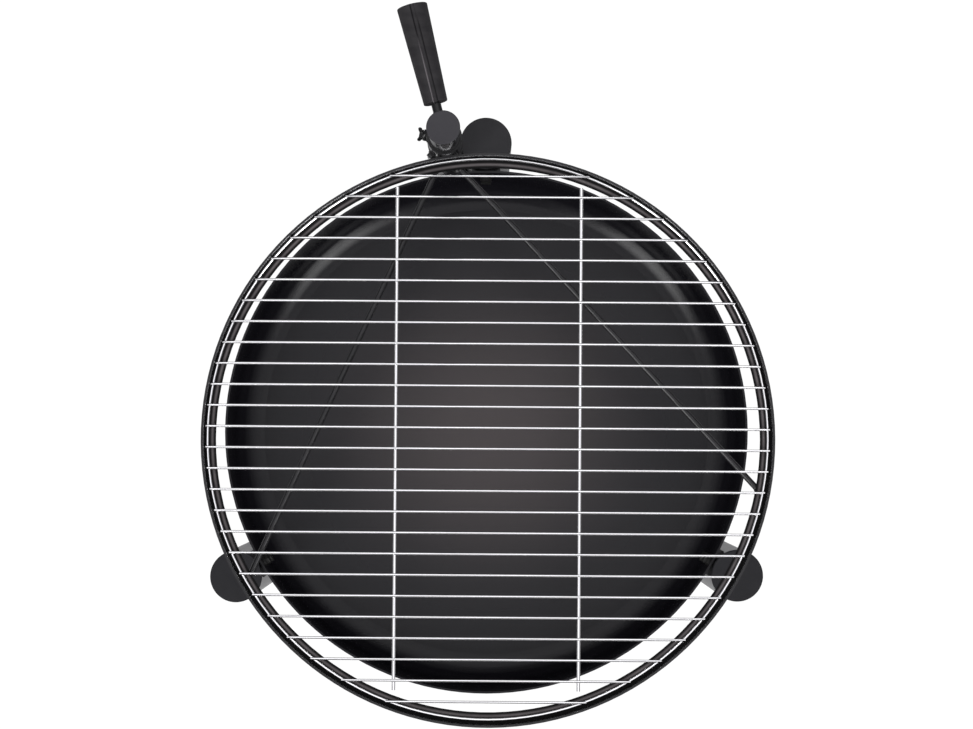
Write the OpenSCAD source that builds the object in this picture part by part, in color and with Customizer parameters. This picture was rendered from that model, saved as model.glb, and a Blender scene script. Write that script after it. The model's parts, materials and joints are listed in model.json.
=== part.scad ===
// Brazier grill: a pressed steel fire bowl bolted inside three tube legs, and a round grill
// that slides up a post beside the rear leg and swings about it. Millimetres, +Z up. The
// feet stand on z = 0, and the origin lies under the middle of the whole plan.

/* [Bowl] */
// Diameter of the bowl over its rim
bowl_d = 509; // [420:1:620]
// Depth of the bowl outside, from the rim to the underside
bowl_depth = 92; // [80:1:170]
// Thickness of the bowl's sheet
bowl_wall = 2; // [1.5:0.1:4]
// Lean of the bowl's side wall, in degrees from upright
bowl_lean = 1; // [1:0.5:10]
// Outer radius of the bend between wall and floor
bowl_bend = 29; // [8:1:34]
// Drop from the top of the legs to the rim
rim_drop = 10; // [4:1:30]

/* [Legs] */
// Height of a leg with its cap and foot
leg_h = 400; // [320:1:560]
// Outer diameter of the leg tube
leg_d = 50; // [40:0.5:60]
// Wall of the leg tube
leg_wall = 2; // [1.5:0.1:4]
// Gap between the rim and a leg
leg_gap = 0.7; // [0.3:0.1:3]
// Thickness of the cap above the leg tube
cap_t = 3; // [2:0.5:6]
// Thickness of the foot below the leg tube
foot_t = 5; // [3:0.5:10]
// Length of the plugs that hold caps and feet in the tubes
plug_l = 16; // [8:1:30]
// Wall of those plugs
plug_wall = 1.6; // [1.2:0.1:3]
// Radius of the rounded edge of caps and feet
cap_edge = 1; // [0.4:0.1:1.5]

/* [Post] */
// Outer diameter of the post tube
post_d = 28; // [24:0.5:34]
// Wall of the post tube
post_wall = 2; // [1.5:0.1:3]
// Length of post that stands alongside the rear leg
post_overlap = 220; // [160:1:300]
// Length of post that stands above the sleeve
post_spare = 69; // [20:1:150]
// Gap between the post and the rim
post_rim_gap = 0.5; // [0.3:0.1:4]
// Gap between the post and the rear leg
post_leg_gap = 1; // [0.6:0.1:4]
// How far the post's cap stands out over the tube, all round
post_cap_lip = 1; // [0:0.1:1.8]

/* [Saddles and bolts] */
// Thread diameter of the bolts and screws
bolt_d = 6; // [5:0.5:8]
// Height of a bolt head
head_h = 4; // [3:0.5:6]
// Height of a nut
nut_h = 5; // [4:0.5:7]
// Distance between the flats of a bolt head or nut
bolt_af = 10; // [8.5:0.5:13]
// Thickness of a washer
washer_t = 1.6; // [1:0.1:2.5]
// Outer diameter of a washer
washer_d = 12; // [10:0.5:18]
// Width of the saddles between bowl and legs
saddle_w = 28; // [20:1:36]
// Height of the saddles between bowl and legs
saddle_h = 52; // [40:1:80]
// Drop from the rim to the top of the saddles
saddle_drop = 8; // [4:0.5:12]
// Distance between the two bolts of a saddle
saddle_pitch = 28; // [24:1:54]
// Gap, filled by paint, between a saddle block and the bowl or the leg
saddle_fit = 0.1; // [0.05:0.05:0.3]
// Width of the saddles between post and rear leg
post_saddle_w = 22; // [16:1:24]
// Height of the saddles between post and rear leg
post_saddle_h = 30; // [20:1:40]
// Drop from the top of the legs to the top of the upper post saddle
post_saddle_drop = 14; // [8:1:40]

/* [Sleeve and collar] */
// Outer diameter of the sleeve that turns on the post
sleeve_d = 32; // [30:0.5:44]
// Length of the sleeve
sleeve_h = 42; // [36:1:80]
// Length of sleeve below the arms
sleeve_lip = 3.5; // [1:0.5:8]
// Outer diameter of the stop collar under the sleeve
collar_d = 33; // [31:0.5:44]
// Height of the stop collar
collar_h = 16; // [12:1:30]
// Height of the nuts that are welded to sleeve and collar
weld_nut_h = 4; // [3:0.5:7]
// Direction of the collar's screw, in degrees from +X
collar_turn = 226; // [180:1:260]
// Direction of the wing screw on the sleeve, in degrees from the grill's own +X
wing_turn = 162; // [140:1:180]
// Drop from the top of the sleeve to the wing screw
wing_drop = 12; // [10:0.5:14]
// Reach of a wing from the screw's axis
wing_reach = 10.5; // [9:0.5:15]
// Thickness of a wing
wing_t = 2; // [1.5:0.1:3]
// Radius of a wing's round tip
wing_tip_r = 3; // [2.5:0.5:5]
// Distance from the root of the wings to the middle of their tips, along the screw
wing_tip_rise = 4.4; // [4:0.2:9]
// Turn of the wings about their screw at rest, in degrees from upright
wing_rest = 30; // [-60:1:60]

/* [Ring and arms] */
// Height of the ring's underside above the legs
ring_rise = 127; // [40:1:200]
// Outer diameter of the ring
ring_d = 522; // [440:1:620]
// Height of the ring's hoop
hoop_h = 18; // [10:0.5:30]
// Thickness of the hoop
hoop_t = 2; // [2:0.1:4]
// Width of the ledge inside the hoop
ledge_w = 10; // [7:0.5:20]
// Thickness of the ledge
ledge_t = 2.5; // [1.5:0.1:4]
// Diameter of the two arms under the ring
arm_d = 5.5; // [5:0.5:10]
// Half of the angle between the arms
arm_half = 33.7; // [20:0.1:45]
// Distance from the post's axis to the point where the arms meet
arm_apex = 9.5; // [6:0.5:12]
// Sideways distance of that point from the line between post and ring
arm_shift = -1.7; // [-4:0.1:4]
// Turn of the arms' middle line away from that line, in degrees
arm_skew = 0.9; // [-3:0.1:3]
// Turn of the grill about the post at rest, in degrees
swing_rest = 8.1; // [-20:0.1:30]

/* [Grate] */
// Gap between the grate's round wire and the hoop, on the radius
grate_gap = 1.2; // [1:0.1:4]
// Thickness of the round wire
wire_d = 3; // [2:0.1:5]
// Thickness of the grill rods
rod_d = 2.2; // [1.6:0.1:4]
// Distance from one grill rod to the next
rod_pitch = 19.2; // [10:0.1:30]
// Thickness of the two cross rods
cross_d = 3.2; // [2:0.1:5]
// Distance between the two cross rods
cross_gap = 168.5; // [80:0.5:260]
// Turn of the rods in the ring, in degrees from the grill's own axis
grate_turn = -8.6; // [-90:0.1:90]
// Direction in which the loose grate has slid towards the hoop, in degrees from +X
grate_slid = 106; // [0:1:360]

/* [Handle] */
// Turn of the handle away from the grill's own axis, in degrees
handle_turn = 5.7; // [0:0.1:10]
// Diameter of the handle's rod
handle_rod_d = 9; // [7:0.5:12]
// Distance between the flats of the handle's nut
handle_nut_af = 16; // [14:0.5:19]
// Height of the handle's nut
handle_nut_h = 8; // [5:0.5:10]
// Length of bare rod between nut and grip
handle_neck = 11; // [3:0.5:40]
// Length of the grip
grip_l = 92; // [70:1:140]
// Diameter of the grip at its near end
grip_near_d = 22.5; // [18:0.5:28]
// Diameter of the grip at its far end
grip_far_d = 28.5; // [20:0.5:36]
// Radius of the rounded edges of the grip
grip_edge = 1.5; // [0.5:0.1:3]
// Height of the dome on the grip's far end
grip_dome = 1.6; // [0.5:0.1:5]
// Depth of the rod's hole in the grip
grip_bore_l = 60; // [30:1:65]
// Number of grooves along the grip
groove_count = 4; // [3:1:8]
// Radius of a groove
groove_r = 2.3; // [1:0.1:3]
// Depth of a groove
groove_deep = 1.2; // [0.3:0.1:1.2]

/* [Fits] */
// Running clearance of sleeve and collar on the post, on the radius
run_fit = 0.1; // [0.05:0.01:0.1]
// Clearance of a screw that turns in its hole, on the radius
screw_fit = 0.05; // [0.03:0.01:0.1]
// Clearance of a fixed bolt in its hole, on the radius
bolt_fit = 0.25; // [0.1:0.05:0.5]
// Clearance of a plug in its tube, on the radius
plug_fit = 0.05; // [0.02:0.01:0.2]
// Gap between the post and the tip of a screw, and between a nut and the wings' hub
screw_gap = 0.3; // [0.2:0.05:0.6]
// Gap that a loose piece keeps where it rests: sleeve on collar, grate on ledge and hoop
rest_gap = 0.2; // [0.1:0.05:0.6]
// Depth to which a welded piece is let into the round or bar that it joins
weld_seat = 0.5; // [0.3:0.1:1]
// Depth to which the grill rods sink into the wires that they are welded to
rod_seat = 0.25; // [0.1:0.05:0.5]

/* [Hidden] */
$fn = 96;
STEEL_BLACK = [0.07, 0.07, 0.075];
BOWL_BLACK = [0.10, 0.10, 0.10];
CAP_GREY = [0.24, 0.24, 0.25];
CHROME = [0.82, 0.83, 0.84];
ZINC = [0.62, 0.63, 0.65];
GRIP_BLACK = [0.05, 0.05, 0.055];

// Room that a cutting shape takes past the faces it cuts
over = 2;

leg_r = leg_d / 2;
post_r = post_d / 2;
bowl_r = bowl_d / 2;
ring_r = ring_d / 2;
sleeve_r = sleeve_d / 2;
collar_r = collar_d / 2;
hoop_in_r = ring_r - hoop_t;
ledge_in_r = hoop_in_r - ledge_w;

// Heights
rim_z = leg_h - rim_drop;
bowl_z = rim_z - bowl_depth;
ring_z = leg_h + ring_rise;
ledge_top = ring_z + ledge_t;
arm_z = ring_z + weld_seat - arm_d / 2;
sleeve_z = arm_z - arm_d / 2 - sleeve_lip;
sleeve_top = sleeve_z + sleeve_h;
collar_z = sleeve_z - rest_gap - collar_h;
post_top = sleeve_top + post_spare;
post_z = leg_h - post_overlap;
wing_z = sleeve_top - wing_drop;
handle_z = sleeve_z + sleeve_h / 2;
wire_z = ledge_top + rest_gap + wire_d / 2;
wire_top = wire_z + wire_d / 2;
rod_z = wire_top + rod_d / 2 - rod_seat;
cross_z = wire_top - cross_d / 2;

// Plan: the legs stand on a circle about the bowl, at 90, 210 and 330 degrees
LEG_TURNS = [90, 210, 330];
leg_circle = bowl_r + leg_gap + leg_r;
rear_leg = [0, leg_circle];

// The post touches neither rim nor rear leg, so its place closes a triangle of three lengths
post_far = bowl_r + post_rim_gap + post_r;
post_leg = leg_r + post_leg_gap + post_r;
post_angle = acos((post_far ^ 2 + leg_circle ^ 2 - post_leg ^ 2) / (2 * post_far * leg_circle));
post_xy = [-post_far * sin(post_angle), post_far * cos(post_angle)];
leg_to_post = post_xy - rear_leg;
post_bolt_turn = atan2(leg_to_post.y, leg_to_post.x);

// The hoop is welded to the sleeve, so the ring's centre follows from their sizes
ring_far = ring_r + sleeve_r - weld_seat;
ring_xy = post_xy + ring_far * [sin(swing_rest), -cos(swing_rest)];

// The arms end under the middle of the ledge
arm_end_r = (ledge_in_r + hoop_in_r) / 2;
apex_to_ring = [-arm_shift, arm_apex - ring_far];
function arm_l(side) =
    let (turn = -90 + arm_skew + side * arm_half,
         along = apex_to_ring * [cos(turn), sin(turn)])
    along + sqrt(arm_end_r ^ 2 - apex_to_ring * apex_to_ring + along ^ 2);

// The handle, measured from the post's axis
handle_nut_end = sleeve_r - weld_seat + handle_nut_h;
grip_start = handle_nut_end + handle_neck;
grip_end = grip_start + grip_l;
handle_world = swing_rest + handle_turn;

// The box of the plan, whose middle is the origin
leg_reach = leg_circle * sin(60) + leg_r;
plan_left = min(-leg_reach, ring_xy.x - ring_r);
plan_right = max(leg_reach, ring_xy.x + ring_r);
plan_front = min(-leg_circle / 2 - leg_r, ring_xy.y - ring_r);
grip_back = (grip_end - grip_edge) * cos(handle_world) + grip_edge
    + (grip_far_d / 2 - grip_edge) * sin(handle_world);
plan_back = max(leg_circle + leg_r, post_xy.y + grip_back);
plan_mid = [plan_left + plan_right, plan_front + plan_back] / 2;

// Puts a shape drawn about the bowl's axis into the part's frame
module in_frame() {
    translate([-plan_mid.x, -plan_mid.y, 0])
        children();
}

// Puts a shape drawn about the post's axis, with the world's directions, into the frame
module at_post() {
    in_frame()
        translate([post_xy.x, post_xy.y, 0])
            children();
}

// The grill's own axes: the post's axis at the origin, the ring's centre on -Y
module at_swing() {
    at_post()
        rotate([0, 0, swing_rest])
            children();
}

// The ring's centre, in the grill's own axes
module at_ring() {
    at_swing()
        translate([0, -ring_far, 0])
            children();
}

// One leg's own axes: the bowl's axis at the origin, the leg on +X
module at_leg(turn) {
    in_frame()
        rotate([0, 0, turn])
            children();
}

// Lays a shape drawn along +Z onto +X
module lay_x() {
    rotate([0, 90, 0])
        children();
}

module tube(d, wall, h) {
    difference() {
        cylinder(d = d, h = h);
        translate([0, 0, -over])
            cylinder(d = d - 2 * wall, h = h + 2 * over);
    }
}

module nut(af, h, bore) {
    difference() {
        cylinder(d = af / cos(30), h = h, $fn = 6);
        translate([0, 0, -over])
            cylinder(d = bore, h = h + 2 * over);
    }
}

// A hexagon bolt: head below z = 0, shank above
module bolt(shank_l) {
    translate([0, 0, -head_h])
        cylinder(d = bolt_af / cos(30), h = head_h, $fn = 6);
    cylinder(d = bolt_d, h = shank_l);
}

// A lid with rounded edge that closes the tube's end at z = 0, its plug reaching down
module end_plug(d, wall, t, lip = 0) {
    lid_r = d / 2 + lip;
    edge = min(cap_edge, t / 2);
    plug_r = d / 2 - wall - plug_fit;
    rotate_extrude() {
        square([lid_r, t - edge]);
        square([lid_r - edge, t]);
        intersection() {
            translate([lid_r - edge, t - edge])
                circle(r = edge, $fn = 32);
            square([lid_r, t]);
        }
        translate([plug_r - plug_wall, -plug_l])
            square([plug_wall, plug_l + t / 2]);
    }
}

// Half of the bowl's upright section, drawn a distance in from the outside of the sheet
module bowl_section(inset, top) {
    bend = bowl_bend - inset;
    bend_x = bowl_r + (sin(bowl_lean) * (bowl_bend - bowl_depth) - bowl_bend) / cos(bowl_lean);
    bend_z = bowl_z + bowl_bend;
    wall_foot = [bend_x + bend * cos(bowl_lean), bend_z - bend * sin(bowl_lean)];
    wall_rise = top - wall_foot.y;
    polygon([
        [0, bowl_z + inset],
        [bend_x, bowl_z + inset],
        [bend_x, bend_z],
        wall_foot,
        [wall_foot.x + wall_rise * tan(bowl_lean), top],
        [0, top],
    ]);
    intersection() {
        translate([bend_x, bend_z])
            circle(r = bend);
        translate([0, bowl_z])
            square([bowl_r, bowl_depth]);
    }
}

module bowl_outside() {
    rotate_extrude($fn = 180)
        bowl_section(0, rim_z);
}

module bowl_inside() {
    rotate_extrude($fn = 180)
        bowl_section(bowl_wall, rim_z + over);
}

// Radius of the bowl's outside at a height on its side wall
function bowl_wall_r(z) = bowl_r - (rim_z - z) * tan(bowl_lean);

saddle_top = rim_z - saddle_drop;
saddle_mid = saddle_top - saddle_h / 2;
BOLT_HEIGHTS = [saddle_mid + saddle_pitch / 2, saddle_mid - saddle_pitch / 2];
leg_inner_x = leg_circle - leg_r + leg_wall;
// Radius well inside the bowl, from which the saddles' blocks and the bolts' holes are drawn
inner_start = bowl_r / 2;

// A shape at each of a leg's two bolts, along +X, with x = 0 on the bowl's axis
module at_bolts() {
    for (z = BOLT_HEIGHTS)
        translate([0, 0, z])
            lay_x()
                children();
}

// From well inside the bowl to the leg's axis, so that the leg's outer wall stays whole
module bolt_holes() {
    at_bolts()
        translate([0, 0, inner_start])
            cylinder(r = bolt_d / 2 + bolt_fit, h = leg_circle - inner_start);
}

// The inside face of the bowl's wall at a bolt, where the washer lies
function washer_x(z) = bowl_wall_r(z) - bowl_wall / cos(bowl_lean);

module fire_bowl() {
    color(BOWL_BLACK)
        in_frame()
            difference() {
                bowl_outside();
                bowl_inside();
                for (turn = LEG_TURNS)
                    rotate([0, 0, turn])
                        bolt_holes();
            }
}

module leg(turn) {
    color(STEEL_BLACK)
        at_leg(turn)
            difference() {
                translate([leg_circle, 0, foot_t])
                    tube(leg_d, leg_wall, leg_h - cap_t - foot_t);
                bolt_holes();
            }
}

POST_BOLT_HEIGHTS = [
    leg_h - post_saddle_drop - post_saddle_h / 2,
    post_z + post_saddle_drop + post_saddle_h / 2,
];

// A shape at each of the post's two bolts, along +Z from the rear leg's axis to the post
module at_post_bolts() {
    in_frame()
        translate([rear_leg.x, rear_leg.y, 0])
            rotate([0, 0, post_bolt_turn])
                for (z = POST_BOLT_HEIGHTS)
                    translate([0, 0, z])
                        lay_x()
                            children();
}

module post_bolt_holes() {
    at_post_bolts()
        cylinder(r = bolt_d / 2 + bolt_fit, h = post_leg + post_r + over);
}

module leg_rear() {
    color(STEEL_BLACK)
        difference() {
            leg(90);
            post_bolt_holes();
        }
}

module leg_left() {
    leg(210);
}

module leg_right() {
    leg(330);
}

module leg_cap(turn) {
    color(CAP_GREY)
        at_leg(turn)
            translate([leg_circle, 0, leg_h - cap_t])
                end_plug(leg_d, leg_wall, cap_t);
}

module leg_cap_rear() {
    leg_cap(90);
}

module leg_cap_left() {
    leg_cap(210);
}

module leg_cap_right() {
    leg_cap(330);
}

module foot(turn) {
    color(CAP_GREY)
        at_leg(turn)
            translate([leg_circle, 0, foot_t])
                mirror([0, 0, 1])
                    end_plug(leg_d, leg_wall, foot_t);
}

module foot_rear() {
    foot(90);
}

module foot_left() {
    foot(210);
}

module foot_right() {
    foot(330);
}

// A block that fits the leaning bowl on one side and the round leg on the other
module bowl_saddle(turn) {
    block_l = leg_circle - sqrt(leg_r ^ 2 - saddle_w ^ 2 / 4) - inner_start;
    color(STEEL_BLACK)
        at_leg(turn)
            difference() {
                translate([inner_start, -saddle_w / 2, saddle_top - saddle_h])
                    cube([block_l, saddle_w, saddle_h]);
                rotate_extrude($fn = 180)
                    bowl_section(-saddle_fit, rim_z);
                translate([leg_circle, 0, 0])
                    cylinder(r = leg_r + saddle_fit, h = leg_h);
                bolt_holes();
            }
}

module bowl_saddle_rear() {
    bowl_saddle(90);
}

module bowl_saddle_left() {
    bowl_saddle(210);
}

module bowl_saddle_right() {
    bowl_saddle(330);
}

module bowl_bolts() {
    color(STEEL_BLACK)
        for (turn = LEG_TURNS)
            at_leg(turn)
                for (z = BOLT_HEIGHTS)
                    translate([washer_x(z) - washer_t, 0, z])
                        lay_x()
                            bolt(leg_inner_x + nut_h + over - washer_x(z) + washer_t);
}

// Each washer is pressed to the lean and curve of the wall that it lies on
module bowl_washers() {
    high = BOLT_HEIGHTS[0] + washer_d;
    low = BOLT_HEIGHTS[1] - washer_d;
    color(STEEL_BLACK)
        for (turn = LEG_TURNS)
            at_leg(turn)
                intersection() {
                    translate([0, 0, low])
                        cylinder(r1 = washer_x(low), r2 = washer_x(high), h = high - low, $fn = 720);
                    for (z = BOLT_HEIGHTS)
                        translate([washer_x(z) - washer_t, 0, z])
                            lay_x()
                                tube(washer_d, washer_d / 2 - bolt_d / 2 - bolt_fit, 2 * washer_t);
                }
}

// The legs' nuts sit inside the tube, their faces shaped to it
module leg_nuts() {
    color(ZINC)
        for (turn = LEG_TURNS)
            at_leg(turn)
                intersection() {
                    translate([leg_circle, 0, 0])
                        cylinder(d = leg_d - 2 * leg_wall, h = leg_h);
                    at_bolts()
                        translate([0, 0, leg_inner_x])
                            nut(bolt_af, nut_h, bolt_d + 2 * screw_fit);
                }
}

module post() {
    color(STEEL_BLACK)
        difference() {
            at_post()
                translate([0, 0, post_z + cap_t])
                    tube(post_d, post_wall, post_top - post_z - 2 * cap_t);
            post_bolt_holes();
        }
}

module post_cap() {
    color(CAP_GREY)
        at_post()
            translate([0, 0, post_top - cap_t])
                end_plug(post_d, post_wall, cap_t, post_cap_lip);
}

module post_plug() {
    color(CAP_GREY)
        at_post()
            translate([0, 0, post_z + cap_t])
                mirror([0, 0, 1])
                    end_plug(post_d, post_wall, cap_t);
}

// Blocks that fill the valleys between the two tubes, hollowed to fit both
module post_saddles() {
    color(STEEL_BLACK)
        difference() {
            in_frame()
                translate([rear_leg.x, rear_leg.y, 0])
                    rotate([0, 0, post_bolt_turn])
                        for (z = POST_BOLT_HEIGHTS)
                            translate([0, -post_saddle_w / 2, z - post_saddle_h / 2])
                                cube([post_leg, post_saddle_w, post_saddle_h]);
            at_leg(90)
                translate([leg_circle, 0, 0])
                    cylinder(d = leg_d, h = leg_h);
            at_post()
                cylinder(d = post_d, h = leg_h);
            post_bolt_holes();
        }
}

module post_bolts() {
    grip_through = post_leg + post_r - leg_r + leg_wall + washer_t;
    color(STEEL_BLACK)
        at_post_bolts()
            translate([0, 0, post_leg + post_r + washer_t])
                mirror([0, 0, 1])
                    bolt(grip_through + nut_h + over);
}

// Washers hollowed to the post's round side
module post_washers() {
    color(STEEL_BLACK)
        difference() {
            at_post_bolts()
                translate([0, 0, post_leg + post_r - washer_t])
                    tube(washer_d, washer_d / 2 - bolt_d / 2 - bolt_fit, 2 * washer_t);
            at_post()
                cylinder(d = post_d, h = leg_h);
        }
}

module post_nuts() {
    color(ZINC)
        intersection() {
            at_leg(90)
                translate([leg_circle, 0, 0])
                    cylinder(d = leg_d - 2 * leg_wall, h = leg_h);
            at_post_bolts()
                translate([0, 0, leg_r - leg_wall - nut_h])
                    nut(bolt_af, nut_h, bolt_d + 2 * screw_fit);
        }
}

// The collar's screw, along +Z from the post's axis
module at_collar_screw() {
    at_post()
        rotate([0, 0, collar_turn])
            translate([0, 0, collar_z + collar_h / 2])
                lay_x()
                    children();
}

module stop_collar() {
    color(STEEL_BLACK)
        difference() {
            at_post()
                translate([0, 0, collar_z])
                    tube(collar_d, collar_r - post_r - run_fit, collar_h);
            at_collar_screw()
                cylinder(r = bolt_d / 2 + screw_fit, h = collar_r + over);
        }
}

module collar_nut() {
    color(STEEL_BLACK)
        difference() {
            at_collar_screw()
                translate([0, 0, collar_r - weld_seat])
                    nut(bolt_af, weld_nut_h, bolt_d + 2 * screw_fit);
            at_post()
                cylinder(d = collar_d, h = post_top);
        }
}

// A headless screw with a hexagon socket
module collar_screw() {
    tip = post_r + screw_gap;
    socket = bolt_d / 2;
    end = collar_r - weld_seat + weld_nut_h + over / 2;
    color(ZINC)
        at_collar_screw()
            difference() {
                translate([0, 0, tip])
                    cylinder(d = bolt_d, h = end - tip);
                translate([0, 0, end - socket])
                    cylinder(d = socket / cos(30), h = socket + over, $fn = 6);
            }
}

// The wing screw's axis, along +Z from the post's axis
module at_wing_screw() {
    at_swing()
        rotate([0, 0, wing_turn])
            translate([0, 0, wing_z])
                lay_x()
                    children();
}

// The handle's axis, along +Z from the post's axis
module at_handle() {
    at_swing()
        rotate([0, 0, 90 + handle_turn])
            translate([0, 0, handle_z])
                lay_x()
                    children();
}

module swivel_sleeve() {
    color(STEEL_BLACK)
        difference() {
            at_swing()
                translate([0, 0, sleeve_z])
                    tube(sleeve_d, sleeve_r - post_r - run_fit, sleeve_h);
            at_wing_screw()
                cylinder(r = bolt_d / 2 + screw_fit, h = sleeve_r + over);
            at_handle()
                cylinder(d = handle_rod_d, h = sleeve_r + over);
        }
}

module sleeve_nut() {
    color(STEEL_BLACK)
        difference() {
            at_wing_screw()
                translate([0, 0, sleeve_r - weld_seat])
                    nut(bolt_af, weld_nut_h, bolt_d + 2 * screw_fit);
            at_swing()
                cylinder(d = sleeve_d, h = post_top);
        }
}

wing_hub = sleeve_r - weld_seat + weld_nut_h + screw_gap;
hub_base_d = bolt_af;
hub_top_d = bolt_d + wing_t / 2;
hub_h = wing_tip_rise - wing_tip_r / 4;

// One flat wing, drawn in the plane of X and Y. Its root starts inside the hub, so that no
// face of the wing falls together with one of the hub's
module wing() {
    root_inset = wing_t / 4;
    tip = [wing_reach - wing_tip_r, wing_tip_rise];
    // From the middle of the tip to where the wing's lower edge meets it
    tip_edge = wing_tip_r * [cos(50), -sin(50)];
    translate([0, 0, -wing_t / 2])
        linear_extrude(wing_t) {
            translate(tip)
                circle(r = wing_tip_r, $fn = 48);
            polygon([
                [0, root_inset],
                [hub_base_d / 2 - wing_t / 2, root_inset],
                tip + tip_edge,
                tip - tip_edge,
                [0, hub_h - root_inset],
            ]);
        }
}

module wing_screw() {
    tip = post_r + screw_gap;
    color(STEEL_BLACK)
        at_wing_screw() {
            translate([0, 0, tip])
                cylinder(d = bolt_d, h = wing_hub - tip + over);
            translate([0, 0, wing_hub])
                cylinder(d1 = hub_base_d, d2 = hub_top_d, h = hub_h);
            for (side = [0, 180])
                rotate([0, 0, wing_rest + side])
                    translate([0, 0, wing_hub])
                        rotate([90, 0, 0])
                            wing();
        }
}

module ring_hoop() {
    color(STEEL_BLACK)
        difference() {
            at_ring()
                translate([0, 0, ring_z])
                    tube(ring_d, hoop_t, hoop_h, $fn = 180);
            at_swing()
                cylinder(d = sleeve_d, h = post_top);
        }
}

module ring_ledge() {
    color(STEEL_BLACK)
        at_ring()
            translate([0, 0, ring_z])
                tube(2 * hoop_in_r, ledge_w, ledge_t, $fn = 180);
}

// A straight bar, mitred where the two meet and let in under the ring
module arm(side) {
    color(STEEL_BLACK)
        difference() {
            at_swing()
                difference() {
                    translate([arm_shift, -arm_apex, arm_z])
                        rotate([0, 0, arm_skew])
                            difference() {
                                rotate([0, 0, -90 + side * arm_half])
                                    lay_x()
                                        cylinder(d = arm_d, h = arm_l(side));
                                translate([side > 0 ? -2 * arm_d : 0, -ring_far, -arm_d])
                                    cube([2 * arm_d, ring_far + arm_d, 2 * arm_d]);
                            }
                    cylinder(d = sleeve_d, h = post_top);
                }
            at_ring()
                translate([0, 0, ring_z])
                    tube(ring_d, hoop_t + ledge_w, hoop_h, $fn = 180);
        }
}

module arm_left() {
    arm(-1);
}

module arm_right() {
    arm(1);
}

module handle_nut() {
    color(STEEL_BLACK)
        difference() {
            at_handle()
                translate([0, 0, sleeve_r - weld_seat])
                    nut(handle_nut_af, handle_nut_h, handle_rod_d);
            at_swing()
                cylinder(d = sleeve_d, h = post_top);
        }
}

module handle_rod() {
    rod_start = post_r + run_fit + screw_gap;
    color(STEEL_BLACK)
        at_handle()
            translate([0, 0, rod_start])
                cylinder(d = handle_rod_d, h = grip_start + grip_bore_l - rod_start);
}

// Half of the grip's section: a cone with rounded edges and a low dome on the far end
module grip_section() {
    near_r = grip_near_d / 2;
    far_r = grip_far_d / 2;
    dome_base = far_r - grip_edge;
    dome_r = (dome_base ^ 2 + grip_dome ^ 2) / (2 * grip_dome);
    polygon([
        [0, 0],
        [near_r - grip_edge, 0],
        [near_r, grip_edge],
        [far_r, grip_l - grip_edge],
        [dome_base, grip_l],
        [0, grip_l],
    ]);
    translate([near_r - grip_edge, grip_edge])
        circle(r = grip_edge, $fn = 32);
    translate([dome_base, grip_l - grip_edge])
        circle(r = grip_edge, $fn = 32);
    intersection() {
        translate([0, grip_l + grip_dome - dome_r])
            circle(r = dome_r, $fn = 180);
        translate([0, grip_l - over])
            square([dome_base, grip_dome + 2 * over]);
    }
}

module handle_grip() {
    grip_lean = atan((grip_far_d - grip_near_d) / 2 / (grip_l - 2 * grip_edge));
    color(GRIP_BLACK)
        at_handle()
            translate([0, 0, grip_start])
                difference() {
                    rotate_extrude()
                        grip_section();
                    translate([0, 0, -over])
                        cylinder(d = handle_rod_d, h = grip_bore_l + over);
                    for (i = [0 : groove_count - 1])
                        rotate([0, 0, 360 * i / groove_count])
                            translate([grip_near_d / 2 + groove_r - groove_deep, 0, 0])
                                rotate([0, grip_lean, 0])
                                    translate([0, 0, -2 * over])
                                        cylinder(r = groove_r, h = grip_l + 6 * over, $fn = 32);
                }
}

// The loose grate lies off the ring's centre by most of its gap
grate_off = grate_gap - rest_gap;
grate_xy = ring_xy + grate_off * [cos(grate_slid), sin(grate_slid)];

// The grate's own axes: its centre at the origin, the rods along X
module at_grate() {
    in_frame()
        translate([grate_xy.x, grate_xy.y, 0])
            rotate([0, 0, swing_rest + grate_turn])
                children();
}

wire_r = hoop_in_r - grate_gap - wire_d / 2;
rod_side = floor((wire_r - rod_d) / rod_pitch + 0.5);

module grate_ring() {
    color(CHROME)
        at_grate()
            translate([0, 0, wire_z])
                rotate_extrude($fn = 180)
                    translate([wire_r, 0])
                        circle(d = wire_d, $fn = 24);
}

// The rods lie on the round wire and end at its outer side
module grate_rods() {
    color(CHROME)
        at_grate()
            for (i = [0.5 - rod_side : rod_side - 0.5]) {
                reach = sqrt(wire_r ^ 2 - (i * rod_pitch) ^ 2) + wire_d / 2;
                translate([-reach, i * rod_pitch, rod_z])
                    lay_x()
                        cylinder(d = rod_d, h = 2 * reach, $fn = 24);
            }
}

// The cross rods lie under the grill rods. They stop between the last two at each end, and
// clear of the ledge in any case
module grate_cross_rods() {
    ledge_room = ledge_in_r - grate_off - cross_d;
    cross_half = min((rod_side - 1) * rod_pitch, sqrt(ledge_room ^ 2 - cross_gap ^ 2 / 4));
    color(CHROME)
        at_grate()
            for (side = [-1, 1])
                translate([side * cross_gap / 2, cross_half, cross_z])
                    rotate([90, 0, 0])
                        cylinder(d = cross_d, h = 2 * cross_half, $fn = 24);
}

fire_bowl();
leg_rear();
leg_left();
leg_right();
leg_cap_rear();
leg_cap_left();
leg_cap_right();
foot_rear();
foot_left();
foot_right();
bowl_saddle_rear();
bowl_saddle_left();
bowl_saddle_right();
bowl_bolts();
bowl_washers();
leg_nuts();
post();
post_cap();
post_plug();
post_saddles();
post_bolts();
post_washers();
post_nuts();
stop_collar();
collar_nut();
collar_screw();
swivel_sleeve();
sleeve_nut();
wing_screw();
ring_hoop();
ring_ledge();
arm_left();
arm_right();
handle_nut();
handle_rod();
handle_grip();
grate_ring();
grate_rods();
grate_cross_rods();
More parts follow.
